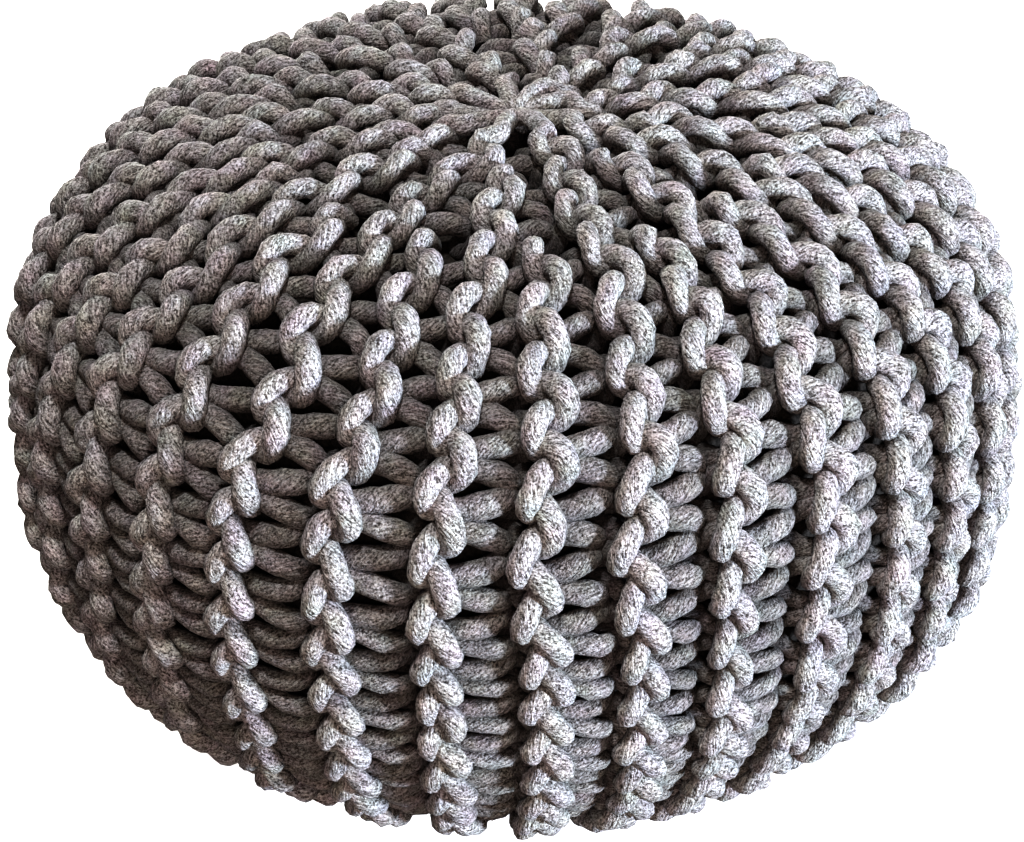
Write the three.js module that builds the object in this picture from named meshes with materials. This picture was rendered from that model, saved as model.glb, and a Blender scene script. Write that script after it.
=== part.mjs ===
import * as THREE from 'three';
import { mergeVertices } from 'three/addons/utils/BufferGeometryUtils.js';

// Knitted cord pouf: a round, firmly filled floor seat in a cover of thick soft cord.
// The cover is garter stitch knitted sideways, so its ridges run like meridians from the
// gathered crown, over the belt, down to the flat base.
// Millimetres, +Z up, base on z = 0, the front faces -Y.

// Overall form, measured over the crests of the ridges.
const BELT_RADIUS = 250;
const BELT_LEVEL = 141;
const CROWN_RISE = 171;
const CROWN_POWER = 3.04;
const BASE_DROP = 151.5;
const BASE_POWER = 2.41;

// The crown is drawn in to a small hollow at its middle.
const HOLLOW_DEPTH = 17;
const HOLLOW_RADIUS = 30;

// Wedge-shaped gores of three ridges. Each kind of ridge starts at its own distance
// from the middle of the crown, so that the ridges never crowd together there.
const GORES = 11;
const RIDGES = [
  { kind: 'long', start: 0 },
  { kind: 'short', start: 106 },
  { kind: 'middle', start: 54 },
];
const START_LEAD = 16;
const START_RUN = 30;
const SHUT_WIDTH = 0.1;

// Columns of points over one ridge, left to right. across is a share of the ridge's width;
// arc tells which of the two interlocked rows of arcs bulges at that column.
const COLUMNS = [
  { across: -0.33, arc: 'foot' },
  { across: -0.13, arc: 'sinker' },
  { across: 0.13, arc: 'head' },
  { across: 0.35, arc: 'foot' },
];

// Depths below the outline: the tops of the arcs, the dips between them and the valleys.
const SINK = { head: 0, sinker: 1.5, dip: 6.5, foot: 13 };
const ARC_SWAY = 0.06;
const FULL_SPACING = 36;

// Taut strands radiate from the hollow to where the stitches begin.
const STRAND_REACHES = [9, 22, 33];
const FIRST_STITCH = 44;

// Length of a stitch along its ridge, by distance from the middle of the crown.
const STITCHES = [
  { reach: 40, length: 26 },
  { reach: 90, length: 31 },
  { reach: 150, length: 36 },
  { reach: 195, length: 29 },
  { reach: 260, length: 28 },
  { reach: 320, length: 24.5 },
  { reach: 400, length: 22.5 },
  { reach: 600, length: 23 },
];

// The ridges lean: their azimuth drifts on the way down, more on one side than on the other.
const FIRST_RIDGE_AZIMUTH = 3;
const LEAN_REACH = 250;
const LEAN = -0.021;
const LEAN_VARIATION = -0.019;

const CORD_GREY = 0x8c8789;

const degrees = THREE.MathUtils.degToRad;
const { lerp, smoothstep } = THREE.MathUtils;

// Half section from the middle of the crown to the rim of the flat base.
function outlineCurve() {
  const steps = 60;
  const points = [];
  for (let i = 0; i < steps; i += 1) {
    const angle = (Math.PI / 2) * (1 - i / steps);
    const r = BELT_RADIUS * Math.cos(angle) ** (2 / CROWN_POWER);
    const rise = CROWN_RISE * Math.sin(angle) ** (2 / CROWN_POWER);
    const hollow = HOLLOW_DEPTH * Math.exp(-((r / HOLLOW_RADIUS) ** 2));
    points.push(new THREE.Vector2(r, BELT_LEVEL + rise - hollow));
  }
  const last = Math.asin((BELT_LEVEL / BASE_DROP) ** (BASE_POWER / 2));
  for (let i = 0; i <= steps; i += 1) {
    const angle = (last * i) / steps;
    const r = BELT_RADIUS * Math.cos(angle) ** (2 / BASE_POWER);
    const drop = BASE_DROP * Math.sin(angle) ** (2 / BASE_POWER);
    points.push(new THREE.Vector2(r, BELT_LEVEL - drop));
  }
  const curve = new THREE.SplineCurve(points);
  curve.arcLengthDivisions = 3000;
  return curve;
}

function stitchLength(reach) {
  let i = 1;
  while (i < STITCHES.length - 1 && reach > STITCHES[i].reach) {
    i += 1;
  }
  const [from, to] = [STITCHES[i - 1], STITCHES[i]];
  const share = THREE.MathUtils.clamp((reach - from.reach) / (to.reach - from.reach), 0, 1);
  return lerp(from.length, to.length, share);
}

// Rings of points, counted out from the crown and returned from the rim up: strands first, then
// two rings for each stitch, through the middles of the head arcs and of the sinker arcs.
function ringTable(fullLength) {
  const rings = [{ reach: 0, arc: 'strand' }];
  for (const reach of STRAND_REACHES) {
    rings.push({ reach, arc: 'strand' });
  }
  let reach = FIRST_STITCH;
  let arc = 'head';
  while (reach < fullLength - stitchLength(reach) / 3) {
    rings.push({ reach, arc });
    reach += stitchLength(reach) / 2;
    arc = arc === 'head' ? 'sinker' : 'head';
  }
  rings.push({ reach: fullLength, arc: 'rim' });
  return rings.reverse();
}

// Share of its full width that a ridge of this kind has at a distance from the crown's middle.
function ridgeWidth(ridge, reach) {
  if (ridge.start === 0) {
    return 1;
  }
  const grown = smoothstep(reach, ridge.start - START_LEAD, ridge.start + START_RUN);
  return lerp(SHUT_WIDTH, 1, grown);
}

// Azimuth of a column, and the depth of its point below the outline.
function columnPoint(index, ring, radius) {
  const column = COLUMNS[index % COLUMNS.length];
  const ridgeIndex = Math.floor(index / COLUMNS.length);
  const place = ridgeIndex % RIDGES.length;
  const gore = Math.floor(ridgeIndex / RIDGES.length);
  const widths = RIDGES.map((ridge) => ridgeWidth(ridge, ring.reach));
  const total = widths.reduce((sum, width) => sum + width, 0);
  const width = widths[place];
  let middle = 0;
  for (let k = 0; k < place; k += 1) {
    middle += (widths[k] + widths[k + 1]) / 2;
  }
  const sway = { head: ARC_SWAY, sinker: -ARC_SWAY }[ring.arc] ?? 0;
  const across = column.arc === 'foot' ? column.across : column.across + sway;
  const turn = (360 / GORES) * (gore + (middle + width * across) / total) + FIRST_RIDGE_AZIMUTH;
  const variation = LEAN_VARIATION * Math.sin(degrees(2 * turn));
  const azimuth = degrees(turn + (LEAN + variation) * (ring.reach - LEAN_REACH));

  const spacing = (degrees(360 / GORES) * radius * width) / total;
  const crowding = Math.min(1, spacing / FULL_SPACING);
  let sink = SINK.foot;
  if (column.arc !== 'foot') {
    const raised = ring.arc === column.arc || ring.arc === 'strand';
    const crest = raised ? SINK[column.arc] : SINK.dip;
    sink = lerp(SINK.foot, crest, smoothstep(width, 0.3, 0.9));
  }
  return { azimuth, sink: ring.arc === 'rim' ? 0 : sink * crowding };
}

// The filled body: the outline turned about Z, with the stitches raised in its points.
function poufGeometry() {
  const outline = outlineCurve();
  const fullLength = outline.getLength();
  const rings = ringTable(fullLength);
  const profile = rings.map((ring) => outline.getPointAt(ring.reach / fullLength));
  const top = profile[profile.length - 1];
  top.x = 0;
  profile[0].y = 0;
  const columnCount = GORES * RIDGES.length * COLUMNS.length;
  const lathe = new THREE.LatheGeometry([new THREE.Vector2(0, 0), ...profile], columnCount);
  lathe.deleteAttribute('normal');
  lathe.deleteAttribute('uv');

  const position = lathe.getAttribute('position');
  const rowCount = rings.length + 1;
  for (let column = 0; column <= columnCount; column += 1) {
    for (let row = 0; row < rowCount; row += 1) {
      const vertex = column * rowCount + row;
      if (row === 0 || row === rowCount - 1) {
        position.setXYZ(vertex, 0, 0, row === 0 ? 0 : top.y);
      } else {
        const ring = rings[row - 1];
        const place = profile[row - 1];
        const tangent = outline.getTangentAt(ring.reach / fullLength);
        const point = columnPoint(column % columnCount, ring, place.x);
        const radius = place.x + tangent.y * point.sink;
        const height = place.y - tangent.x * point.sink;
        const east = radius * Math.sin(point.azimuth);
        const north = -radius * Math.cos(point.azimuth);
        position.setXYZ(vertex, east, north, Math.max(0, height));
      }
    }
  }
  return withoutSlivers(mergeVertices(lathe, 1e-3));
}

// Triangles that collapsed on the axis are dropped.
function withoutSlivers(geometry) {
  const index = geometry.getIndex().array;
  const kept = [];
  for (let i = 0; i < index.length; i += 3) {
    const [a, b, c] = [index[i], index[i + 1], index[i + 2]];
    if (a !== b && b !== c && c !== a) {
      kept.push(a, b, c);
    }
  }
  geometry.setIndex(kept);
  geometry.computeVertexNormals();
  return geometry;
}

const cord = new THREE.MeshStandardMaterial({ color: CORD_GREY, roughness: 0.95, metalness: 0 });
const pouf = new THREE.Mesh(poufGeometry(), cord);
pouf.name = 'knitted_pouf';

const part = new THREE.Group();
part.name = 'knitted_cord_pouf';
part.add(pouf);

export default part;
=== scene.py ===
"""Knitted cord pouf: thick heather-grey cord in garter stitch over a filled bag.

The cover is made row by row. One stitch of the knit is settled in its repeating cell, the rows are
laid on the pouf's surface, and a Geometry Nodes tree sweeps the cord along them.
Metres in Blender, millimetres in the knitting maths; +Z up, the front faces -Y.
"""

import math

import bpy
import numpy as np
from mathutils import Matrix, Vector


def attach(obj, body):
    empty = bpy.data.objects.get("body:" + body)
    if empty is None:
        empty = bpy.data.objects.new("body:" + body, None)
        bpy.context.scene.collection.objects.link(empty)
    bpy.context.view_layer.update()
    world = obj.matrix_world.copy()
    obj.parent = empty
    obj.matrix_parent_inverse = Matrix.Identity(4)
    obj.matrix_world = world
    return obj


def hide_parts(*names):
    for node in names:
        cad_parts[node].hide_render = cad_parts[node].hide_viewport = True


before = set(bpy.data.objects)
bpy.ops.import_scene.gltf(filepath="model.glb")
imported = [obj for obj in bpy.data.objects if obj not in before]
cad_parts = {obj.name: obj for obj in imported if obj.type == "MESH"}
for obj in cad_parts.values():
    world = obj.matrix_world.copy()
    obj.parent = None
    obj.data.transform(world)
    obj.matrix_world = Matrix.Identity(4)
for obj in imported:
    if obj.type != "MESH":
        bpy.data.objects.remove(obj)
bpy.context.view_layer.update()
MM = 0.001

# Form of the pouf over the crests of its ridges.
BELT_RADIUS = 250.0
BELT_LEVEL = 141.0
CROWN_RISE = 171.0
CROWN_POWER = 3.04
BASE_DROP = 151.5
BASE_POWER = 2.41
OUTLINE_POINTS = 1500
BASE_POINTS = 200
NORMAL_BLUR = 7

# Ridges all round, from the front to the right: long ones reach the middle of the crown, middle and
# short ones start farther out, between them. Under the base they start a little nearer the middle.
RIDGES = "SLSMSLSMSLSMSLSMSSLSMSLSLSLSMSLSM"
RIDGE_STARTS = {"L": 0.0, "M": 54.0, "S": 106.0}
PANELS = 11
START_LEAD = 16.0
START_RUN = 30.0
SHUT_WIDTH = 0.1
LIVE_LEAD = 8.0
LIVE_RUN = 12.0
NEIGHBOURS = 5
BASE_LET_OUT = 20.0

# The ridges lean: their azimuth in degrees drifts with the reach in mm, and low at the front it
# drifts the other way.
FIRST_RIDGE_AZIMUTH = 3.0
LEAN_REACH = 250.0
LEAN = -0.021
LEAN_VARIATION = -0.019
FRONT_LEAN = 0.027
FRONT_LEAN_AZIMUTH = 6.0
FRONT_LEAN_POWER = 16
FRONT_LEAN_REACHES = (280.0, 470.0)

# Stitches: reach from the middle of the crown, length along the ridge.
FIRST_STITCH = 44.0
STITCH_REACH = (40, 90, 150, 195, 260, 320, 400, 700)
STITCH_LENGTH = (26, 31, 36, 29, 28, 24.5, 22.5, 24)

# The cord: its width in mm, and its share of that by reach. It is drawn thin towards the middle of
# the crown. The bars that lie deep in the valleys low on the sides are slimmer.
CORD = 10.8
CORD_REACHES = (2.5, 6.0, 12.0, 22.0, 44.0, 90.0, 150.0, 210.0, 250.0, 310.0, 370.0)
CORD_WIDTHS = (0.74, 0.82, 0.88, 0.91, 0.92, 0.93, 0.98, 1.04, 1.06, 1.03, 1.00)
LOW_SLIM = 0.20
SLIM_SINKS = (8.0, 13.0)
SLIM_REACHES = (270.0, 370.0)
SIDES = 11

# Soft lumps of the cord, by the metre and in metres, and its twist in radians a metre.
LUMP_SCALE = 190.0
LUMP_DEPTH = 0.0030
TWIST = 160.0

# Half a stitch of the two kinds of row, from the sinker arc to the head arc:
# along (share of a stitch), which line it is measured from, across (mm), height (cord widths).
PURL_ROW = (
    (-0.50, "ridge", -6.5, 2.45),
    (-0.36, "ridge", -6.1, 2.38),
    (-0.23, "ridge", -4.5, 2.10),
    (-0.145, "ridge", -1.2, 1.68),
    (-0.10, "ridge", 3.6, 1.44),
    (-0.15, "ridge", 9.5, 1.52),
    (-0.26, "valley", -5.5, 1.54),
    (-0.37, "valley", -0.5, 1.24),
    (-0.42, "valley", 2.2, 0.75),
    (-0.34, "valley", 3.0, 0.20),
    (-0.15, "valley", 3.6, 0.00),
    (0.00, "valley", 3.8, 0.00),
)
KNIT_ROW = (
    (-0.50, "valley", -6.0, 0.15),
    (-0.36, "valley", -5.0, 0.15),
    (-0.22, "valley", -1.5, 0.25),
    (-0.18, "valley", 4.0, 0.45),
    (-0.28, "ridge", -12.0, 0.80),
    (-0.37, "ridge", -8.0, 1.18),
    (-0.41, "ridge", -3.6, 1.50),
    (-0.37, "ridge", 0.6, 1.74),
    (-0.27, "ridge", 4.0, 2.08),
    (-0.14, "ridge", 6.0, 2.35),
    (0.00, "ridge", 6.5, 2.45),
)
PER_STITCH = 32
CURVE_STEPS = 12

# The arcs of a ridge lean against each other like a zigzag: sideways slip of their ends in mm.
KNIT_LEAN = 5.4
PURL_LEAN = -4.2
LEAN_SPAN = 0.4

# Short stitches: their legs close up, and the ends of their arcs dive less.
LEG_HEIGHT = 1.9
LEGS_CLOSED = 15.0
LEGS_RUN = 14.0
LEAST_SPREAD = 0.4
ARC_HEIGHT = 1.45
ARC_SIDE = 7.0
ARC_CLOSED = 2.0
ARC_RUN = 24.0
LEAST_ARC = 0.80

# Width of a stitch, from ridge to ridge: where its valley lies, and how far its arcs are drawn in.
VALLEY_SHIFT = 1.0
VALLEY_SHARE = 0.62
NARROW_LEAST = 0.27
NARROW_RISE = 0.020
NARROW_MOST = 0.90

# Settling: cords are kept this share of their width apart, they resist bending and stretching, and
# they swell where they have room.
CELL_LENGTHS = (22.0, 29.0, 37.0)
CELL_WIDTHS = (17.0, 26.0, 36.0, 48.0)
SETTLE_STEPS = 16
SQUEEZE = 0.60
FIRST_ROOM = 0.5
SAME_CORD = 1.3
STIFFNESS = 0.10
STRETCH = 0.4
PUSH = 0.45
SAG = 0.01
MOST_MOVE = 0.5
PLUMP = (0.90, 1.08)
PLUMP_ROOM = 0.90
PLUMP_BLUR = 3

# How much thicker the cord of each row shows on the ridge, above these heights in cord widths.
KNIT_BULGE = 0.04
PURL_BULGE = 0.02
BULGE_HEIGHTS = (1.5, 2.1)

# Hand-made unevenness in mm, of a whole ridge and of one row.
RIDGE_WANDER = 0.5
ROW_WANDER = 0.25
ROW_SINK = 0.45
ROW_SLIP = 0.35
DRIFT_WAVES = 16
DRIFT_REACHES = (60.0, 130.0)
DRIFT_RADIUS = 60.0
ROW_WAVES = 6
ROW_PACES = (0.15, 1.1)

# The knit is shallower low on the sides; its crests stand a little out of the outline.
LOW_RISE = 0.24
LOW_RISE_REACHES = (260.0, 400.0)
CREST_OUT = 0.6
LEAST_RADIUS = 25.0

# Strands at the gathered middle of the crown, by ridge: turn off the ridge line in degrees, and
# how far each lies under the top ones in mm.
STRANDS = {
    1: (10, 0.0),
    5: (19, 4.5),
    9: (24, 2.0),
    13: (11, 0.0),
    18: (-8, 1.0),
    22: (-16, 3.5),
    24: (-4, 5.5),
    26: (2, 2.5),
    30: (5, 0.0),
}
STRAND_STOPS = np.array([2.5, 6.0, 12.0, 20.0, 28.0])
STRAND_SINK = np.array([9.5, 6.0, 4.6, 4.4, 4.8])
STRAND_UNDER = np.array([1.2, 1.1, 1.0, 0.8, 0.4])
HIDDEN_STOPS = np.array([6.0, 13.0, 20.0, 28.0])
HIDDEN_SINK = np.array([34.0, 24.0, 20.0, 20.0])
HIDDEN_SWING = -0.3
BASE_SINK = 12.0

# Other rows turn back behind their ridge. No cord goes lower than it can rest on the floor.
TUCK_REACH = 9.0
TUCK_SINK = 17.0
TUCK_WIDTH = 0.8
FLOOR_REST = 0.47

# Points along a row: one for so many mm or radians, half as many out of sight.
STRAIGHT_STEP = 11.0
BEND_STEP = 0.42
UNSEEN_SINK = 21.0
UNSEEN_RIM = 6.0
UNSEEN_SHARE = 0.5

# The filled bag.
BAG_LIFT = 3.0
BAG_END = 6.0
BAG_RINGS = 48
BAG_TURNS = 80


def smoothstep(x, low, high):
    t = np.clip((x - low) / (high - low), 0.0, 1.0)
    return t * t * (3.0 - 2.0 * t)


# Surface of the pouf --------------------------------------------------------------------------


class Outline:
    """Half section from the middle of the crown to the middle of the base, by reach in mm."""

    def __init__(self):
        up = np.linspace(math.pi / 2, 0.0, OUTLINE_POINTS)
        r = BELT_RADIUS * np.cos(up).clip(0) ** (2 / CROWN_POWER)
        z = BELT_LEVEL + CROWN_RISE * np.sin(up) ** (2 / CROWN_POWER)
        last = math.asin((BELT_LEVEL / BASE_DROP) ** (BASE_POWER / 2))
        down = np.linspace(0.0, last, OUTLINE_POINTS)[1:]
        r = np.concatenate([r, BELT_RADIUS * np.cos(down) ** (2 / BASE_POWER)])
        z = np.concatenate([z, BELT_LEVEL - BASE_DROP * np.sin(down) ** (2 / BASE_POWER)])
        self.rim_reach = np.hypot(np.diff(r), np.diff(z)).sum()
        flat = np.linspace(r[-1], 0.0, BASE_POINTS)[1:]
        r = np.concatenate([r, flat])
        z = np.concatenate([z, np.zeros_like(flat)])
        reach = np.concatenate([[0.0], np.cumsum(np.hypot(np.diff(r), np.diff(z)))])
        self.full = reach[-1]
        self.reach = np.linspace(0.0, self.full, int(self.full) + 1)
        self.r = np.interp(self.reach, reach, r)
        self.z = np.interp(self.reach, reach, z)
        tr, tz = self.blurred_slope(self.r), self.blurred_slope(self.z)
        size = np.hypot(tr, tz)
        self.nr, self.nz = -tz / size, tr / size

    @staticmethod
    def blurred_slope(line):
        span = 2 * NORMAL_BLUR + 1
        slope = np.pad(np.gradient(line), NORMAL_BLUR, mode="edge")
        return np.convolve(slope, np.ones(span) / span, "valid")

    def radius(self, reach):
        return np.interp(reach, self.reach, self.r)

    def place(self, reach, azimuth, sink):
        """Points in mm at a reach and azimuth, sunk below the outline."""
        r = np.interp(reach, self.reach, self.r) - sink * np.interp(reach, self.reach, self.nr)
        z = np.interp(reach, self.reach, self.z) - sink * np.interp(reach, self.reach, self.nz)
        return np.stack([r * np.sin(azimuth), -r * np.cos(azimuth), z], -1)


OUTLINE = Outline()


def near_end(reach):
    """Distance to the nearer gathered end; the one under the base is let out a little."""
    return np.minimum(reach, OUTLINE.full - reach + BASE_LET_OUT)


def ridge_azimuth(ridge, reach):
    """Azimuth of a ridge line in radians; ridges are counted on past a full turn."""
    widths = {"L": np.ones_like(reach)}
    for kind in "MS":
        start = RIDGE_STARTS[kind]
        grown = smoothstep(near_end(reach), start - START_LEAD, start + START_RUN)
        widths[kind] = SHUT_WIDTH + (1.0 - SHUT_WIDTH) * grown
    around = [widths[kind] for kind in RIDGES]
    turns, place = divmod(ridge, len(RIDGES))
    middle = sum(around[1:place], (around[0] + around[place]) / 2) if place else 0.0 * reach
    turn = 360.0 * (turns + middle / sum(around)) + FIRST_RIDGE_AZIMUTH
    variation = LEAN_VARIATION * np.sin(np.radians(2 * turn))
    front = np.cos(np.radians(turn - FRONT_LEAN_AZIMUTH) / 2) ** FRONT_LEAN_POWER
    lower = FRONT_LEAN * front * (np.clip(reach, *FRONT_LEAN_REACHES) - FRONT_LEAN_REACHES[0])
    return np.radians(turn + (LEAN + variation) * (reach - LEAN_REACH) + lower)


def ridge_live(ridge, reach):
    """1 where a ridge runs at this reach, 0 where it has not started yet."""
    start = RIDGE_STARTS[RIDGES[ridge % len(RIDGES)]]
    if start == 0.0:
        return np.ones_like(reach)
    return smoothstep(near_end(reach), start - LIVE_LEAD, start + LIVE_RUN)


def neighbour_azimuth(ridge, reach, step):
    """Azimuth of the next ridge on one side that still runs at this reach."""
    found = ridge_azimuth(ridge + NEIGHBOURS * step, reach)
    for k in range(NEIGHBOURS - 1, 0, -1):
        live = ridge_live(ridge + k * step, reach)
        found = live * ridge_azimuth(ridge + k * step, reach) + (1 - live) * found
    return found


def stitch_length(reach):
    return np.interp(reach, STITCH_REACH, STITCH_LENGTH)


class Lattice:
    """Stitch numbers along a ridge, and the reach of each."""

    def __init__(self):
        reach = np.linspace(FIRST_STITCH, OUTLINE.full - FIRST_STITCH, 2000)
        step = reach[1] - reach[0]
        number = np.concatenate([[0.0], np.cumsum(step / stitch_length(reach[:-1]))])
        self.count = int(round(number[-1]))
        self.number = number * self.count / number[-1]
        self.at = reach

    def reach(self, number):
        inside = np.interp(number, self.number, self.at)
        before = np.minimum(number, 0.0) * stitch_length(FIRST_STITCH)
        after = np.maximum(number - self.count, 0.0) * stitch_length(FIRST_STITCH)
        return inside + before + after

    def number_at(self, reach):
        return np.interp(reach, self.at, self.number)


LATTICE = Lattice()

# One stitch of the knit -----------------------------------------------------------------------


def curve_between(a, b, c, d, t):
    """Smooth curve from b to c, led by the points before and after them."""
    curve = 2 * b + (c - a) * t + (2 * a - 5 * b + 4 * c - d) * t**2
    return 0.5 * (curve + (3 * b - a - 3 * c + d) * t**3)


def stitch_path(table, length, ridge, valley, narrow, middle, lean):
    """Evenly spaced points of one stitch of a row, as along, across, height in mm."""
    line = {"ridge": ridge, "valley": valley}
    half = np.array([(a * length, line[base] + x * narrow, h * CORD) for a, base, x, h in table])
    spread = np.clip((length - LEGS_CLOSED) / LEGS_RUN, LEAST_SPREAD, 1.0)
    legs = half[:, 2] < LEG_HEIGHT * CORD
    quarter = length * 0.25
    half[legs, 0] = -quarter + spread * (half[legs, 0] + quarter)
    half[[0, -1], 0] = table[0][0] * length, table[-1][0] * length
    crest = half[:, 2].max()
    dive = np.clip((length - ARC_CLOSED) / ARC_RUN, LEAST_ARC, 1.0)
    arc = [base == "ridge" and h > ARC_HEIGHT and x < ARC_SIDE for _, base, x, h in table]
    half[arc, 2] = crest - dive * (crest - half[arc, 2])
    loop = np.vstack([half, half[-2:0:-1] * [-1, 1, 1]])
    off = loop[:, 0] / length - middle
    off = off - np.round(off)
    high = smoothstep(loop[:, 2], CORD, LEG_HEIGHT * CORD)
    loop[:, 1] += lean * narrow * np.clip(off / LEAN_SPAN, -1, 1) * high
    n = len(loop)
    shift = np.array([length, 0.0, 0.0])
    path = np.vstack([loop - shift, loop, loop + shift, loop + 2 * shift])
    t = np.linspace(0.0, 1.0, CURVE_STEPS, endpoint=False)[:, None]
    dense = [curve_between(*path[i - 1 : i + 3], t) for i in range(n, 2 * n)]
    dense = np.vstack(dense + [loop[:1] + shift])
    run = np.concatenate([[0.0], np.cumsum(np.linalg.norm(np.diff(dense, axis=0), axis=1))])
    even = np.linspace(0.0, run[-1], PER_STITCH, endpoint=False)
    return np.stack([np.interp(even, run, dense[:, c]) for c in range(3)], 1), run[-1]


def before_after(points, length):
    """The points before and after each one, in a row that repeats with every stitch."""
    after = np.roll(points, -1, 0)
    after[-1] += [length, 0.0, 0.0]
    before = np.roll(points, 1, 0)
    before[0] -= [length, 0.0, 0.0]
    return before, after


def settled_stitch(length, width):
    """Knit and purl rows of one cell, smoothed and pushed apart where cords press together."""
    valley = VALLEY_SHIFT + VALLEY_SHARE * width
    narrow = min(NARROW_MOST, NARROW_LEAST + NARROW_RISE * width)
    knit, knit_run = stitch_path(KNIT_ROW, length, 0.0, valley - width, narrow, 0.0, KNIT_LEAN)
    purl, purl_run = stitch_path(PURL_ROW, length, 0.0, valley, narrow, 0.5, PURL_LEAN)
    n = PER_STITCH
    steps = [(a, x) for a in range(-2, 3) for x in range(-1, 2)]
    shifts = np.array([(a * length, x * width, 0.0) for a, x in steps])
    mine = np.arange(2 * n)
    theirs = np.tile(mine, len(steps))
    along = np.repeat([a for a, x in steps], 2 * n)
    beside = np.repeat([x for a, x in steps], 2 * n)
    same = ((mine[:, None] < n) == (theirs[None] < n)) & (beside == 0)[None]
    apart = np.abs(theirs % n + along * n - (mine % n)[:, None])
    spacing = np.where(mine < n, knit_run / n, purl_run / n)[:, None]
    joined = same & (apart * spacing < CORD * SAME_CORD)
    points = np.vstack([knit, purl])
    for step in range(SETTLE_STEPS):
        room = CORD * SQUEEZE * min(1.0, FIRST_ROOM + step / SETTLE_STEPS)
        move = np.zeros_like(points)
        for first, run in ((0, knit_run), (n, purl_run)):
            row = points[first : first + n]
            before, after = before_after(row, length)
            bend = (before + after) / 2 - row
            bend_before, bend_after = before_after(bend, 0.0)
            move[first : first + n] += STIFFNESS * (bend - (bend_before + bend_after) / 2)
            link = after - row
            size = np.linalg.norm(link, axis=1, keepdims=True)
            pull = STRETCH * (size - run / n) * link / size
            move[first : first + n] += pull - np.roll(pull, 1, 0)
        others = (points[None] + shifts[:, None]).reshape(-1, 3)
        gap = points[:, None] - others[None]
        dist = np.sqrt((gap**2).sum(-1)) + 1e-9
        press = np.where((dist < room) & ~joined, room - dist, 0.0)
        share = np.sqrt(np.maximum(1, (press > 0).sum(1, keepdims=True)))
        move += PUSH * ((press / dist)[..., None] * gap).sum(1) / share
        move[:, 2] -= SAG
        points = points + np.clip(move, -MOST_MOVE, MOST_MOVE)
        points[:, 2] = np.maximum(points[:, 2], 0.0)
        points[:, 1] -= 0.5 * (points[:n, 1].max() + points[n:, 1].min())
    others = (points[None] + shifts[:, None]).reshape(-1, 3)
    dist = np.where(joined, 99.0, np.linalg.norm(points[:, None] - others[None], axis=-1))
    plump = np.clip(dist.min(1, keepdims=True) / (PLUMP_ROOM * CORD), *PLUMP)
    bulge = np.where(mine < n, KNIT_BULGE, PURL_BULGE)
    low, high = BULGE_HEIGHTS
    plump[:, 0] *= 1.0 + bulge * smoothstep(points[:, 2], low * CORD, high * CORD)
    points = np.hstack([points / [length, 1.0, 1.0], plump])
    rows = []
    for row in (points[:n], points[n:]):
        for _ in range(PLUMP_BLUR):
            own = row[:, 3]
            row[:, 3] = 0.25 * np.roll(own, 1) + 0.5 * own + 0.25 * np.roll(own, -1)
        rows.append(row)
    return rows


CELLS = np.array([[settled_stitch(a, b) for b in CELL_WIDTHS] for a in CELL_LENGTHS])
FRONTS = CELLS[..., 2].max(axis=(2, 3))
DEEPEST = CORD / 2 + float(FRONTS.max())


def cell_blend(length, width):
    """Positions of a stitch size between the settled cells."""
    a = np.interp(length, CELL_LENGTHS, range(len(CELL_LENGTHS))).clip(0, len(CELL_LENGTHS) - 1.001)
    b = np.interp(width, CELL_WIDTHS, range(len(CELL_WIDTHS))).clip(0, len(CELL_WIDTHS) - 1.001)
    ia, ib = a.astype(int), b.astype(int)
    return ia, ib, a - ia, b - ib


def stitch_points(row, index, length, width):
    """Along, across, depth below the crests and plumpness for points of a row."""
    ia, ib, fa, fb = cell_blend(length, width)
    shape = np.zeros((len(index), 4))
    front = np.zeros(len(index))
    for da, wa in ((0, 1 - fa), (1, fa)):
        for db, wb in ((0, 1 - fb), (1, fb)):
            shape += CELLS[ia + da, ib + db, row, index] * (wa * wb)[:, None]
            front += FRONTS[ia + da, ib + db] * wa * wb
    return shape[:, 0], shape[:, 1], CORD / 2 + front - shape[:, 2], shape[:, 3]


# Rows of the cover ----------------------------------------------------------------------------

KNIT, PURL = 0, 1
rng = np.random.default_rng(71)


class Drift:
    """Slow unevenness over the cover: a sum of waves in azimuth and reach."""

    def __init__(self, size, turns, wavelength):
        self.size = size / math.sqrt(DRIFT_WAVES / 2)
        self.turns = rng.integers(-turns, turns + 1, DRIFT_WAVES)
        self.pace = rng.uniform(-1, 1, DRIFT_WAVES) * 2 * math.pi / wavelength
        self.phase = rng.uniform(0, 2 * math.pi, DRIFT_WAVES)

    def __call__(self, azimuth, reach):
        wave = self.turns * azimuth[:, None] + self.pace * reach[:, None] + self.phase
        return self.size * np.cos(wave).sum(1)


ALONG_DRIFT = Drift(2.0, 9, 110.0)
ACROSS_DRIFT = Drift(1.6, 12, 90.0)
SINK_DRIFT = Drift(1.0, 10, 110.0)


def row_wave(number, size, seed):
    """Small hand-made unevenness along a row or a ridge."""
    own = np.random.default_rng(seed)
    pace = own.uniform(*ROW_PACES, ROW_WAVES) * 2 * math.pi
    phase = own.uniform(0, 2 * math.pi, ROW_WAVES)
    return size / math.sqrt(ROW_WAVES / 2) * np.cos(number[:, None] * pace + phase).sum(1)


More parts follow.
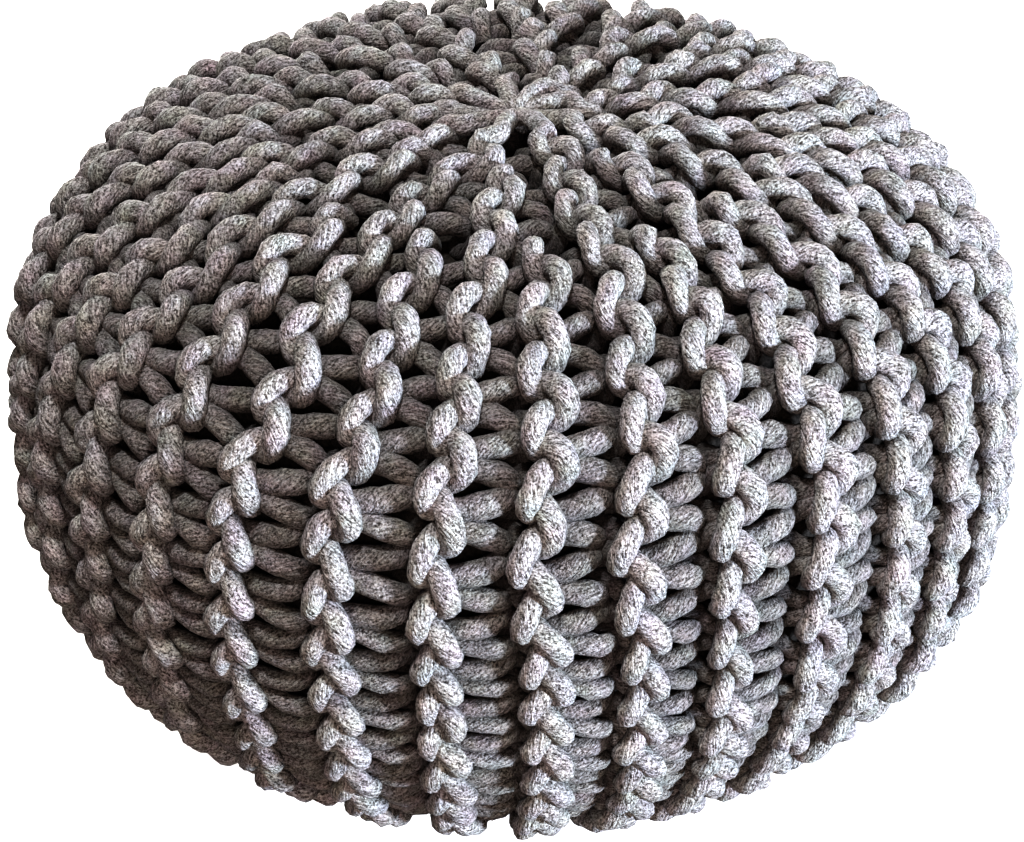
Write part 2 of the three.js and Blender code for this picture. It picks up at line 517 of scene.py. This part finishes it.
def row_points(ridge, row):
    """Middle line of the cord of one row, in mm, from the crown to the base."""
    start = RIDGE_STARTS[RIDGES[ridge]]
    if start == 0.0:
        first, last = 0, LATTICE.count
    else:
        first = int(math.ceil(float(LATTICE.number_at(start))))
        last = LATTICE.count - int(math.ceil(float(LATTICE.number_at(start - BASE_LET_OUT))))
    stitches = np.repeat(np.arange(first, last + 1), PER_STITCH)
    index = np.tile(np.arange(PER_STITCH), last - first + 1)
    guess = LATTICE.reach(stitches + CELLS[1, 2, row, index, 0])
    side = 1 if row == PURL else -1
    azimuth = ridge_azimuth(ridge, guess)
    spacing = np.abs(neighbour_azimuth(ridge, guess, side) - azimuth) * OUTLINE.radius(guess)
    along, across, sink, plump = stitch_points(row, index, stitch_length(guess), spacing)
    number = stitches + along
    reach = LATTICE.reach(number)
    seed = 10 * ridge + 5 * row
    across = across + row_wave(number, RIDGE_WANDER, 10 * ridge + 1)
    across = across + row_wave(number, ROW_WANDER, seed + 2)
    sink = sink + row_wave(number, ROW_SINK, seed + 3)
    radius = OUTLINE.radius(reach)
    azimuth = ridge_azimuth(ridge, reach) + across / np.maximum(radius, LEAST_RADIUS)
    fade = smoothstep(np.minimum(reach, OUTLINE.full - reach), *DRIFT_REACHES)
    moved = reach + fade * (ALONG_DRIFT(azimuth, reach) + row_wave(number, ROW_SLIP, seed + 4))
    turned = azimuth + fade * ACROSS_DRIFT(azimuth, reach) / np.maximum(radius, DRIFT_RADIUS)
    shallow = 1.0 - LOW_RISE * smoothstep(reach, *LOW_RISE_REACHES)
    sunk = CORD / 2 + (sink - CORD / 2) * shallow + np.abs(SINK_DRIFT(azimuth, reach)) - CREST_OUT
    return lead_in(ridge, row, moved, turned, sunk, plump)


def lead_in(ridge, row, reach, azimuth, sink, plump):
    """Adds the two ends of a row: strands into the gathers, or a turn tucked behind its ridge."""
    if ridge in STRANDS:
        turn, under = STRANDS[ridge]
        if row == PURL:
            ends, swing = STRAND_STOPS, math.radians(turn)
            depth = STRAND_SINK + under * STRAND_UNDER
        else:
            ends, swing, depth = HIDDEN_STOPS, HIDDEN_SWING, HIDDEN_SINK
        strand = ridge_azimuth(ridge, ends) + swing * (1 - ends / FIRST_STITCH)
        reach = np.concatenate([ends, reach, OUTLINE.full - ends[::-1]])
        azimuth = np.concatenate([strand, azimuth, np.full(len(ends), azimuth[-1])])
        sink = np.concatenate([depth, sink, np.full(len(ends), BASE_SINK)])
        plump = np.concatenate([np.ones(len(ends)), plump, np.ones(len(ends))])
    else:
        reach = np.concatenate([[reach[0] - TUCK_REACH], reach, [reach[-1] + TUCK_REACH]])
        azimuth = np.concatenate([[azimuth[0]], azimuth, [azimuth[-1]]])
        sink = np.concatenate([[TUCK_SINK], sink, [TUCK_SINK]])
        plump = np.concatenate([[TUCK_WIDTH], plump, [TUCK_WIDTH]])
    points = OUTLINE.place(reach, azimuth, sink)
    points[:, 2] = np.maximum(points[:, 2], CORD * FLOOR_REST)
    return points, sink, reach, plump


def thinned(points, sink, reach, plump):
    """Fewer points where the cord runs straight, lies deep or is under the pouf."""
    step = np.linalg.norm(np.diff(points, axis=0), axis=1)
    tangent = np.diff(points, axis=0) / step[:, None]
    bend = np.zeros(len(points))
    bend[1:-1] = np.arccos(np.clip((tangent[1:] * tangent[:-1]).sum(1), -1, 1))
    bend = np.convolve(np.pad(bend, 1, mode="edge"), [0.25, 0.5, 0.25], "valid")
    seen = np.where(sink > UNSEEN_SINK, UNSEEN_SHARE, 1.0)
    seen = seen * np.where(reach > OUTLINE.rim_reach + UNSEEN_RIM, UNSEEN_SHARE, 1.0)
    cost = step / STRAIGHT_STEP + (bend[1:] + bend[:-1]) / 2 / BEND_STEP
    cost = cost * (seen[1:] + seen[:-1]) / 2
    run = np.concatenate([[0.0], np.cumsum(cost)])
    even = np.linspace(0.0, run[-1], int(run[-1]) + 2)
    length = np.concatenate([[0.0], np.cumsum(step)])
    where = np.interp(even, run, length)
    width = np.interp(np.interp(where, length, reach), CORD_REACHES, CORD_WIDTHS)
    slim = 1.0 - LOW_SLIM * smoothstep(sink, *SLIM_SINKS) * smoothstep(reach, *SLIM_REACHES)
    width = width * np.interp(where, length, plump * slim)
    return spline_at(points, length, where), width


def spline_at(points, length, where):
    """Points on a smooth curve through the given points."""
    i = np.clip(np.searchsorted(length, where, "right") - 1, 0, len(points) - 2)
    t = ((where - length[i]) / (length[i + 1] - length[i]))[:, None]
    b, c = points[i], points[i + 1]
    a, d = points[np.maximum(i - 1, 0)], points[np.minimum(i + 2, len(points) - 1)]
    return curve_between(a, b, c, d, t)


# Cord by Geometry Nodes -----------------------------------------------------------------------


def add_socket(tree, name, kind, value=None):
    """A named input of the tree; returns the identifier it is set by."""
    socket = tree.interface.new_socket(name, in_out="INPUT", socket_type=kind)
    if value is not None:
        socket.default_value = value
    return socket.identifier


def math_node(tree, operation, a, b=None, c=None):
    node = tree.nodes.new("ShaderNodeMath")
    node.operation = operation
    for socket, value in zip(node.inputs, (a, b, c)):
        if value is None:
            continue
        if isinstance(value, (int, float)):
            socket.default_value = value
        else:
            tree.links.new(value, socket)
    return node.outputs[0]


def cord_tree():
    """Sweeps a soft, lumpy cord along the rows. Each point keeps its place along and round the
    cord, turned with the twist, for the yarns and the map."""
    tree = bpy.data.node_groups.new("twisted cord", "GeometryNodeTree")
    tree.interface.new_socket("Geometry", in_out="OUTPUT", socket_type="NodeSocketGeometry")
    names = {"rows": add_socket(tree, "Rows", "NodeSocketGeometry")}
    names["radius"] = add_socket(tree, "Cord Radius", "NodeSocketFloat", CORD / 2 * MM)
    names["sides"] = add_socket(tree, "Sides", "NodeSocketInt", SIDES)
    names["lumps"] = add_socket(tree, "Lump Scale", "NodeSocketFloat", LUMP_SCALE)
    names["depth"] = add_socket(tree, "Lump Depth", "NodeSocketFloat", LUMP_DEPTH)
    names["twist"] = add_socket(tree, "Twist", "NodeSocketFloat", TWIST)
    names["material"] = add_socket(tree, "Cord Material", "NodeSocketMaterial")
    new, link = tree.nodes.new, tree.links.new
    entry, leave = new("NodeGroupInput"), new("NodeGroupOutput")

    parameter = new("GeometryNodeSplineParameter")
    along = new("GeometryNodeCaptureAttribute")
    along.domain = "POINT"
    along.capture_items.new("FLOAT", "along")
    link(entry.outputs["Rows"], along.inputs[0])
    link(parameter.outputs["Length"], along.inputs[1])

    section = new("GeometryNodeCurvePrimitiveCircle")
    link(entry.outputs["Sides"], section.inputs["Resolution"])
    link(entry.outputs["Cord Radius"], section.inputs["Radius"])
    around = new("GeometryNodeCaptureAttribute")
    around.domain = "POINT"
    around.capture_items.new("FLOAT", "around")
    link(section.outputs["Curve"], around.inputs[0])
    link(parameter.outputs["Factor"], around.inputs[1])

    sweep = new("GeometryNodeCurveToMesh")
    link(along.outputs[0], sweep.inputs["Curve"])
    link(around.outputs[0], sweep.inputs["Profile Curve"])
    link(new("GeometryNodeInputRadius").outputs[0], sweep.inputs["Scale"])
    sweep.inputs["Fill Caps"].default_value = True

    turn = math_node(tree, "MULTIPLY", around.outputs[1], 2 * math.pi)
    twist = math_node(tree, "MULTIPLY", along.outputs[1], entry.outputs["Twist"])
    angle = math_node(tree, "ADD", turn, twist)
    own = new("ShaderNodeCombineXYZ")
    link(math_node(tree, "COSINE", angle), own.inputs["X"])
    link(math_node(tree, "SINE", angle), own.inputs["Y"])
    link(along.outputs[1], own.inputs["Z"])

    store = new("GeometryNodeStoreNamedAttribute")
    store.data_type = "FLOAT_VECTOR"
    store.domain = "POINT"
    store.inputs["Name"].default_value = "cord"
    link(sweep.outputs["Mesh"], store.inputs["Geometry"])
    link(own.outputs[0], store.inputs["Value"])
    keep = new("GeometryNodeStoreNamedAttribute")
    keep.data_type = "FLOAT"
    keep.domain = "POINT"
    keep.inputs["Name"].default_value = "around"
    link(store.outputs[0], keep.inputs["Geometry"])
    link(around.outputs[1], keep.inputs["Value"])

    lumps = new("ShaderNodeTexNoise")
    lumps.inputs["Detail"].default_value = 1.0
    link(entry.outputs["Lump Scale"], lumps.inputs["Scale"])
    rise = math_node(tree, "SUBTRACT", lumps.outputs["Fac"], 0.5)
    rise = math_node(tree, "MULTIPLY", rise, entry.outputs["Lump Depth"])
    normal = new("GeometryNodeInputNormal")
    offset = new("ShaderNodeVectorMath")
    offset.operation = "SCALE"
    link(normal.outputs[0], offset.inputs[0])
    link(rise, offset.inputs["Scale"])
    move = new("GeometryNodeSetPosition")
    link(keep.outputs[0], move.inputs["Geometry"])
    link(offset.outputs[0], move.inputs["Offset"])

    smooth = new("GeometryNodeSetShadeSmooth")
    link(move.outputs[0], smooth.inputs[0])
    realize = new("GeometryNodeRealizeInstances")
    link(smooth.outputs[0], realize.inputs[0])
    paint = new("GeometryNodeSetMaterial")
    link(realize.outputs[0], paint.inputs["Geometry"])
    link(entry.outputs["Cord Material"], paint.inputs["Material"])
    link(paint.outputs[0], leave.inputs[0])
    return tree, names


def made_mesh(obj):
    """The object's finished shape as a plain mesh piece; the object itself goes."""
    bpy.context.view_layer.update()
    ready = obj.evaluated_get(bpy.context.evaluated_depsgraph_get())
    mesh = bpy.data.meshes.new_from_object(ready)
    name = obj.name
    old = obj.data
    bpy.data.objects.remove(obj)
    bpy.data.curves.remove(old)
    piece = bpy.data.objects.new(name, mesh)
    mesh.name = name
    bpy.context.scene.collection.objects.link(piece)
    return piece


def row_curves(name, rows):
    """One curve object with a line for each row, its radius the share of the cord's width."""
    data = bpy.data.curves.new(name, "CURVE")
    data.dimensions = "3D"
    for points, width in rows:
        spline = data.splines.new("POLY")
        spline.points.add(len(points) - 1)
        four = np.concatenate([points * MM, np.ones((len(points), 1))], 1)
        spline.points.foreach_set("co", four.astype(np.float32).ravel())
        spline.points.foreach_set("radius", width.astype(np.float32))
    obj = bpy.data.objects.new(name, data)
    bpy.context.scene.collection.objects.link(obj)
    return obj


# Materials ------------------------------------------------------------------------------------

# Heather cord: yarns round it, greys of its fibres, and how it darkens in streaks, with painted
# shade in the grooves between yarns and painted shade that deepens with its depth in the knit in
# mm.
YARNS = 11
YARN_WANDER = 2.4
SPECK_SHARE = 0.55
FIBRE_GREYS = (
    (0.39, (0.024, 0.020, 0.019)),
    (0.46, (0.170, 0.157, 0.155)),
    (0.53, (0.385, 0.372, 0.376)),
    (0.63, (0.575, 0.565, 0.577)),
)
STREAK_SHADES = ((0.36, (0.64, 0.64, 0.64)), (0.60, (1.0, 1.0, 1.0)))
# Painted shade in the grooves between the yarns round the cord.
PAINTED_GROOVE_SHADE = ((0.0, (0.88, 0.88, 0.88)), (0.7, (1.0, 1.0, 1.0)))
TINT_SHARE = 0.13
# Painted shade by depth below the crests: the depth in mm it runs over, and its darkening stops.
SHADE_PAINT_DEPTH = 25.0
PAINTED_DEPTH_SHADE = ((0.18, (1.0, 1.0, 1.0)), (0.44, (0.52, 0.51, 0.50)), (0.80, (0.09, 0.08, 0.08)))
# The bag's cloth greys are near-black: painted shade for the gaps of the knit.
BAG_SHADE_GREYS = ((0.35, (0.012, 0.011, 0.010)), (0.65, (0.028, 0.025, 0.023)))
FLOOR_WHITES = ((0.3, (0.80, 0.80, 0.80)), (0.7, (0.83, 0.83, 0.83)))


def shader(name):
    material = bpy.data.materials.new(name)
    material.use_nodes = True
    tree = material.node_tree
    return material, tree, tree.nodes["Principled BSDF"]


def vector_node(tree, operation, a, b):
    node = tree.nodes.new("ShaderNodeVectorMath")
    node.operation = operation
    for socket, value in zip(node.inputs, (a, b)):
        if isinstance(value, tuple):
            socket.default_value = value
        else:
            tree.links.new(value, socket)
    return node.outputs[0]


def noise_node(tree, vector, scale, detail=2.0, rough=0.5):
    node = tree.nodes.new("ShaderNodeTexNoise")
    node.inputs["Scale"].default_value = scale
    node.inputs["Detail"].default_value = detail
    node.inputs["Roughness"].default_value = rough
    tree.links.new(vector, node.inputs["Vector"])
    return node.outputs["Fac"]


def ramp_node(tree, value, stops):
    node = tree.nodes.new("ShaderNodeValToRGB")
    band = node.color_ramp
    while len(band.elements) < len(stops):
        band.elements.new(0.5)
    for element, (at, colour) in zip(band.elements, stops):
        element.position = at
        element.color = (*colour, 1.0)
    tree.links.new(value, node.inputs[0])
    return node.outputs["Color"]


def multiplied(tree, factor, a, b):
    """Colour a darkened by colour b, by a share."""
    node = tree.nodes.new("ShaderNodeMix")
    node.data_type = "RGBA"
    node.blend_type = "MULTIPLY"
    node.inputs["Factor"].default_value = factor
    tree.links.new(a, node.inputs[6])
    tree.links.new(b, node.inputs[7])
    return node.outputs[2]


def attribute_node(tree, name):
    node = tree.nodes.new("ShaderNodeAttribute")
    node.attribute_name = name
    return node


def stretched_noise(tree, own, round_it, along_it, detail, rough=0.5):
    """Noise in the cord's own coordinates: streaks that follow the twist."""
    scaled = vector_node(tree, "MULTIPLY", own, (round_it, round_it, along_it))
    return noise_node(tree, scaled, 1.0, detail, rough)


def bumped(tree, surface, height, distance):
    bump = tree.nodes.new("ShaderNodeBump")
    bump.inputs["Strength"].default_value = 1.0
    bump.inputs["Distance"].default_value = distance
    tree.links.new(height, bump.inputs["Height"])
    tree.links.new(bump.outputs[0], surface.inputs["Normal"])


def heather_cord():
    """Loosely twisted bundle of grey melange yarns: fibre flecks, yarn lines and slow tints, with
    painted shade in the yarn grooves and on the cords that lie deep in the knit.
    """
    material, tree, surface = shader("heather cord")
    own = attribute_node(tree, "cord").outputs["Vector"]
    place = tree.nodes.new("ShaderNodeTexCoord").outputs["Object"]
    split = tree.nodes.new("ShaderNodeSeparateXYZ")
    tree.links.new(own, split.inputs[0])

    wander = stretched_noise(tree, own, 1.6, 150.0, 1.0)
    angle = math_node(tree, "ARCTAN2", split.outputs["Y"], split.outputs["X"])
    wander = math_node(tree, "MULTIPLY", wander, YARN_WANDER)
    lane = math_node(tree, "MULTIPLY_ADD", angle, YARNS / (2 * math.pi), wander)
    lane = math_node(tree, "MULTIPLY", math_node(tree, "FRACT", lane), math.pi)
    hump = math_node(tree, "SINE", lane)

    specks = noise_node(tree, place, 950.0, 2.0, 0.75)
    dashes = stretched_noise(tree, own, 5.0, 480.0, 2.0, 0.7)
    dashed = math_node(tree, "MULTIPLY", dashes, 1.0 - SPECK_SHARE)
    tone = math_node(tree, "MULTIPLY_ADD", specks, SPECK_SHARE, dashed)
    grey = ramp_node(tree, tone, FIBRE_GREYS)
    streak = stretched_noise(tree, own, 3.4, 75.0, 2.0)
    grey = multiplied(tree, 1.0, grey, ramp_node(tree, streak, STREAK_SHADES))
    # Painted shade: the colour is darker in the grooves between the yarns.
    grey = multiplied(tree, 1.0, grey, ramp_node(tree, hump, PAINTED_GROOVE_SHADE))
    drift = tree.nodes.new("ShaderNodeTexNoise")
    drift.inputs["Scale"].default_value = 75.0
    tree.links.new(place, drift.inputs["Vector"])
    tint = vector_node(tree, "MULTIPLY", drift.outputs["Color"], (2.0, 2.0, 2.0))
    grey = multiplied(tree, TINT_SHARE, grey, tint)
    # Painted shade: the cord's colour darkens the deeper it lies below the crests, in place of the
    # shadow in the gaps of the knit.
    deep = attribute_node(tree, "depth").outputs["Fac"]
    painted_shade = ramp_node(tree, math_node(tree, "MULTIPLY", deep, 1 / SHADE_PAINT_DEPTH), PAINTED_DEPTH_SHADE)
    tree.links.new(multiplied(tree, 1.0, grey, painted_shade), surface.inputs["Base Color"])
    surface.inputs["Roughness"].default_value = 0.95
    surface.inputs["Specular IOR Level"].default_value = 0.1
    surface.inputs["Sheen Weight"].default_value = 0.1
    surface.inputs["Sheen Roughness"].default_value = 0.6

    fuzz = noise_node(tree, place, 800.0, 3.0, 0.65)
    relief = math_node(tree, "MULTIPLY_ADD", fuzz, 0.7, math_node(tree, "MULTIPLY", hump, 0.22))
    relief = math_node(tree, "MULTIPLY_ADD", streak, 0.5, relief)
    relief = math_node(tree, "MULTIPLY_ADD", dashes, 0.8, relief)
    bumped(tree, surface, relief, 0.0018)
    return material


def bag_cloth():
    """Woven cloth of the filled bag, painted near-black as the shade seen in the gaps of the knit.
    """
    material, tree, surface = shader("bag cloth")
    place = tree.nodes.new("ShaderNodeTexCoord").outputs["Object"]
    weave = noise_node(tree, place, 700.0, 1.0)
    tree.links.new(ramp_node(tree, weave, BAG_SHADE_GREYS), surface.inputs["Base Color"])
    surface.inputs["Roughness"].default_value = 0.95
    surface.inputs["Specular IOR Level"].default_value = 0.05
    bumped(tree, surface, weave, 0.0004)
    return material


def pale_floor():
    """White ground that gives off a little light, so that it stays white under the pouf too."""
    material, tree, surface = shader("pale floor")
    place = tree.nodes.new("ShaderNodeTexCoord").outputs["Object"]
    soft = noise_node(tree, place, 3.0, 2.0)
    tree.links.new(ramp_node(tree, soft, FLOOR_WHITES), surface.inputs["Base Color"])
    surface.inputs["Roughness"].default_value = 0.9
    surface.inputs["Emission Color"].default_value = (1.0, 0.99, 0.98, 1.0)
    surface.inputs["Emission Strength"].default_value = 0.5
    return material


# Pieces ---------------------------------------------------------------------------------------

FLOOR_GAP = 0.0002
DEPTH_BATCH = 8000
STRIP_LEFT, STRIP_LENGTH = 0.004, 0.95
STRIP_EDGE, STRIP_WIDTH = 0.06, 0.88
CAP_MIDDLE, CAP_RADIUS = 0.991, 0.006
CORD_MATERIAL = heather_cord()
CORD_TREE, CORD_INPUTS = cord_tree()


def knitted_panel(panel):
    """One wedge of the cover: its ridges, each of a knit and a purl row."""
    rows = []
    each = len(RIDGES) // PANELS
    for ridge in range(each * panel, each * (panel + 1)):
        for row in (KNIT, PURL):
            rows.append(thinned(*row_points(ridge, row)))
    obj = row_curves(f"knitted_panel_{panel + 1:02d}", rows)
    sweep = obj.modifiers.new("cord", "NODES")
    sweep.node_group = CORD_TREE
    sweep[CORD_INPUTS["radius"]] = CORD / 2 * MM
    sweep[CORD_INPUTS["sides"]] = SIDES
    sweep[CORD_INPUTS["lumps"]] = LUMP_SCALE
    sweep[CORD_INPUTS["depth"]] = LUMP_DEPTH
    sweep[CORD_INPUTS["twist"]] = TWIST
    sweep[CORD_INPUTS["material"]] = CORD_MATERIAL
    piece = made_mesh(obj)
    resting(piece)
    keep_depth(piece)
    unrolled_map(piece, rows)
    return piece


def resting(piece):
    """Flattens what would reach below the floor."""
    co = np.empty(len(piece.data.vertices) * 3, np.float32)
    piece.data.vertices.foreach_get("co", co)
    co = co.reshape(-1, 3)
    co[:, 2] = np.maximum(co[:, 2], FLOOR_GAP)
    piece.data.vertices.foreach_set("co", co.ravel())
    piece.data.update()


def keep_depth(piece):
    """Stores how far each point of the cord lies below the crests, in mm, for the painted shade of
    the deep cords.
    """
    count = len(piece.data.vertices)
    co = np.empty(count * 3, np.float32)
    piece.data.vertices.foreach_get("co", co)
    co = co.reshape(-1, 3) / MM
    r = np.hypot(co[:, 0], co[:, 1])
    line = np.stack([OUTLINE.r[::3], OUTLINE.z[::3]]).astype(np.float32)
    depth = np.empty(count, np.float32)
    for at in range(0, count, DEPTH_BATCH):
        part = slice(at, at + DEPTH_BATCH)
        gap = (r[part, None] - line[0]) ** 2 + (co[part, 2:] - line[1]) ** 2
        depth[part] = np.sqrt(gap.min(1))
    kept = piece.data.attributes.new("depth", "FLOAT", "POINT")
    kept.data.foreach_set("value", depth)


def unrolled_map(piece, rows):
    """Lays the cords of a panel out flat in equal strips, as the map for its texture."""
    mesh = piece.data
    own = np.empty(len(mesh.vertices) * 3, np.float32)
    mesh.attributes["cord"].data.foreach_get("vector", own)
    along = own.reshape(-1, 3)[:, 2].astype(float)
    around = np.empty(len(mesh.vertices), np.float32)
    mesh.attributes["around"].data.foreach_get("value", around)
    at, full = 0, 0.0
    for points, _ in rows:
        row = slice(at, at + len(points) * SIDES)
        along[row] += full
        full = along[row].max()
        at = row.stop
    strips = int(math.sqrt(full / (math.pi * CORD * MM)))
    each = full / strips * 1.0001

    corner = np.empty(len(mesh.loops), np.int32)
    mesh.loops.foreach_get("vertex_index", corner)
    first = np.empty(len(mesh.polygons), np.int32)
    mesh.polygons.foreach_get("loop_start", first)
    size = np.diff(np.append(first, len(corner)))
    u, v = along[corner], around[corner].astype(float)
    low, high = np.minimum.reduceat(v, first), np.maximum.reduceat(v, first)
    over = np.repeat(((high - low) > 0.5) & (size == 4), size)
    v[over & (v < 0.5)] += 1.0
    strip = np.repeat((np.minimum.reduceat(u, first) / each).astype(int), size)
    x = STRIP_LEFT + STRIP_LENGTH * (u / each - strip)
    y = (strip + STRIP_EDGE + STRIP_WIDTH * v) / strips
    ends = np.repeat(size > 4, size)
    turn = 2 * math.pi * v[ends]
    middle = (np.arange(ends.sum()) // SIDES + 0.5) * SIDES / max(1, ends.sum())
    x[ends] = CAP_MIDDLE + CAP_RADIUS * np.cos(turn)
    y[ends] = middle + CAP_RADIUS * np.sin(turn)
    layer = mesh.uv_layers.new(name="OFBake")
    layer.data.foreach_set("uv", np.stack([x, y], 1).astype(np.float32).ravel())


def filled_bag():
    """The stuffed bag inside, seen only in the gaps of the knit."""
    sink = DEEPEST - BAG_LIFT
    azimuth = np.linspace(0, 2 * math.pi, BAG_TURNS, endpoint=False)
    points = [np.array([0.0, 0.0, OUTLINE.z[0] - sink * OUTLINE.nz[0]])]
    for reach in np.linspace(BAG_END, OUTLINE.full - BAG_END, BAG_RINGS):
        points.extend(OUTLINE.place(np.full(BAG_TURNS, reach), azimuth, np.full(BAG_TURNS, sink)))
    points.append(np.array([0.0, 0.0, sink]))
    beside = [(k, (k + 1) % BAG_TURNS) for k in range(BAG_TURNS)]
    faces = [(0, 1 + a, 1 + b) for a, b in beside]
    for ring in range(BAG_RINGS - 1):
        above, below = 1 + ring * BAG_TURNS, 1 + (ring + 1) * BAG_TURNS
        faces.extend((above + a, below + a, below + b, above + b) for a, b in beside)
    end, last = len(points) - 1, len(points) - 1 - BAG_TURNS
    faces.extend((end, last + b, last + a) for a, b in beside)
    mesh = bpy.data.meshes.new("filled_bag")
    mesh.from_pydata([tuple(p * MM) for p in points], [], faces)
    mesh.polygons.foreach_set("use_smooth", [True] * len(mesh.polygons))
    mesh.materials.append(bag_cloth())
    mesh.update()
    piece = bpy.data.objects.new("filled_bag", mesh)
    bpy.context.scene.collection.objects.link(piece)
    return piece


panels = [knitted_panel(panel) for panel in range(PANELS)]
bag = filled_bag()
for piece in panels + [bag]:
    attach(piece, "root")
    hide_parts("knitted_pouf")

# Stage ----------------------------------------------------------------------------------------

CAMERA_ELEVATION = math.radians(33.2)
CAMERA_DISTANCE = 1.25
CAMERA_FOCUS_PX = 2480.0
PICTURE = (1024, 842)
BELT_IN_PICTURE = (515.0, 407.0)
SENSOR = 36.0
FLOOR_HALF = 40.0
SKY_COLOUR = (1.0, 0.74, 0.63, 1.0)
SKY_STRENGTH = 0.024

# Name, place and size in metres, power in watts, colour.
LIGHTS = (
    ("key", (1.57, -1.26, 0.48), 0.35, 96.0, (0.87, 0.97, 1.10)),
    ("top", (0.0, -0.55, 2.0), 0.25, 32.0, (1.0, 0.98, 0.96)),
    ("front", (0.10, -1.6, 1.0), 0.4, 10.0, (1.0, 0.82, 0.72)),
    ("low", (-0.30, -1.2, 0.06), 0.5, 3.6, (1.0, 0.80, 0.70)),
    ("back", (-0.75, 1.75, 0.75), 0.8, 70.0, (1.0, 0.96, 0.92)),
)


def soft_light(name, place, size, power, colour):
    """A round soft lamp that faces the middle of the belt."""
    data = bpy.data.lights.new(name, "AREA")
    data.shape = "DISK"
    data.size = size
    data.energy = power
    data.color = colour
    obj = bpy.data.objects.new(name, data)
    obj.location = place
    aim = Vector((0.0, 0.0, BELT_LEVEL * MM)) - Vector(place)
    obj.rotation_euler = aim.to_track_quat("-Z", "Y").to_euler()
    bpy.context.scene.collection.objects.link(obj)


def stage():
    """Floor, lights and the camera at the angle of the picture."""
    corners = [(x * FLOOR_HALF, y * FLOOR_HALF, 0) for x, y in ((-1, -1), (1, -1), (1, 1), (-1, 1))]
    mesh = bpy.data.meshes.new("floor")
    mesh.from_pydata(corners, [], [(0, 1, 2, 3)])
    mesh.materials.append(pale_floor())
    floor = bpy.data.objects.new("floor", mesh)
    bpy.context.scene.collection.objects.link(floor)
    floor.visible_diffuse = False

    world = bpy.data.worlds.new("studio")
    world.use_nodes = True
    sky = world.node_tree.nodes["Background"]
    sky.inputs["Color"].default_value = SKY_COLOUR
    sky.inputs["Strength"].default_value = SKY_STRENGTH
    bpy.context.scene.world = world
    bpy.context.scene.view_settings.view_transform = "Standard"
    bpy.context.scene.view_settings.look = "High Contrast"
    for light in LIGHTS:
        soft_light(*light)

    data = bpy.data.cameras.new("camera")
    data.sensor_width = SENSOR
    data.lens = SENSOR * CAMERA_FOCUS_PX / PICTURE[0]
    data.shift_x = (PICTURE[0] / 2 - BELT_IN_PICTURE[0]) / PICTURE[0]
    data.shift_y = (BELT_IN_PICTURE[1] - PICTURE[1] / 2) / PICTURE[0]
    camera = bpy.data.objects.new("camera", data)
    back = CAMERA_DISTANCE * math.cos(CAMERA_ELEVATION)
    up = CAMERA_DISTANCE * math.sin(CAMERA_ELEVATION)
    camera.location = (0.0, -back, BELT_LEVEL * MM + up)
    camera.rotation_euler = (math.pi / 2 - CAMERA_ELEVATION, 0.0, 0.0)
    bpy.context.scene.collection.objects.link(camera)
    bpy.context.scene.camera = camera


stage()
bpy.context.view_layer.update()
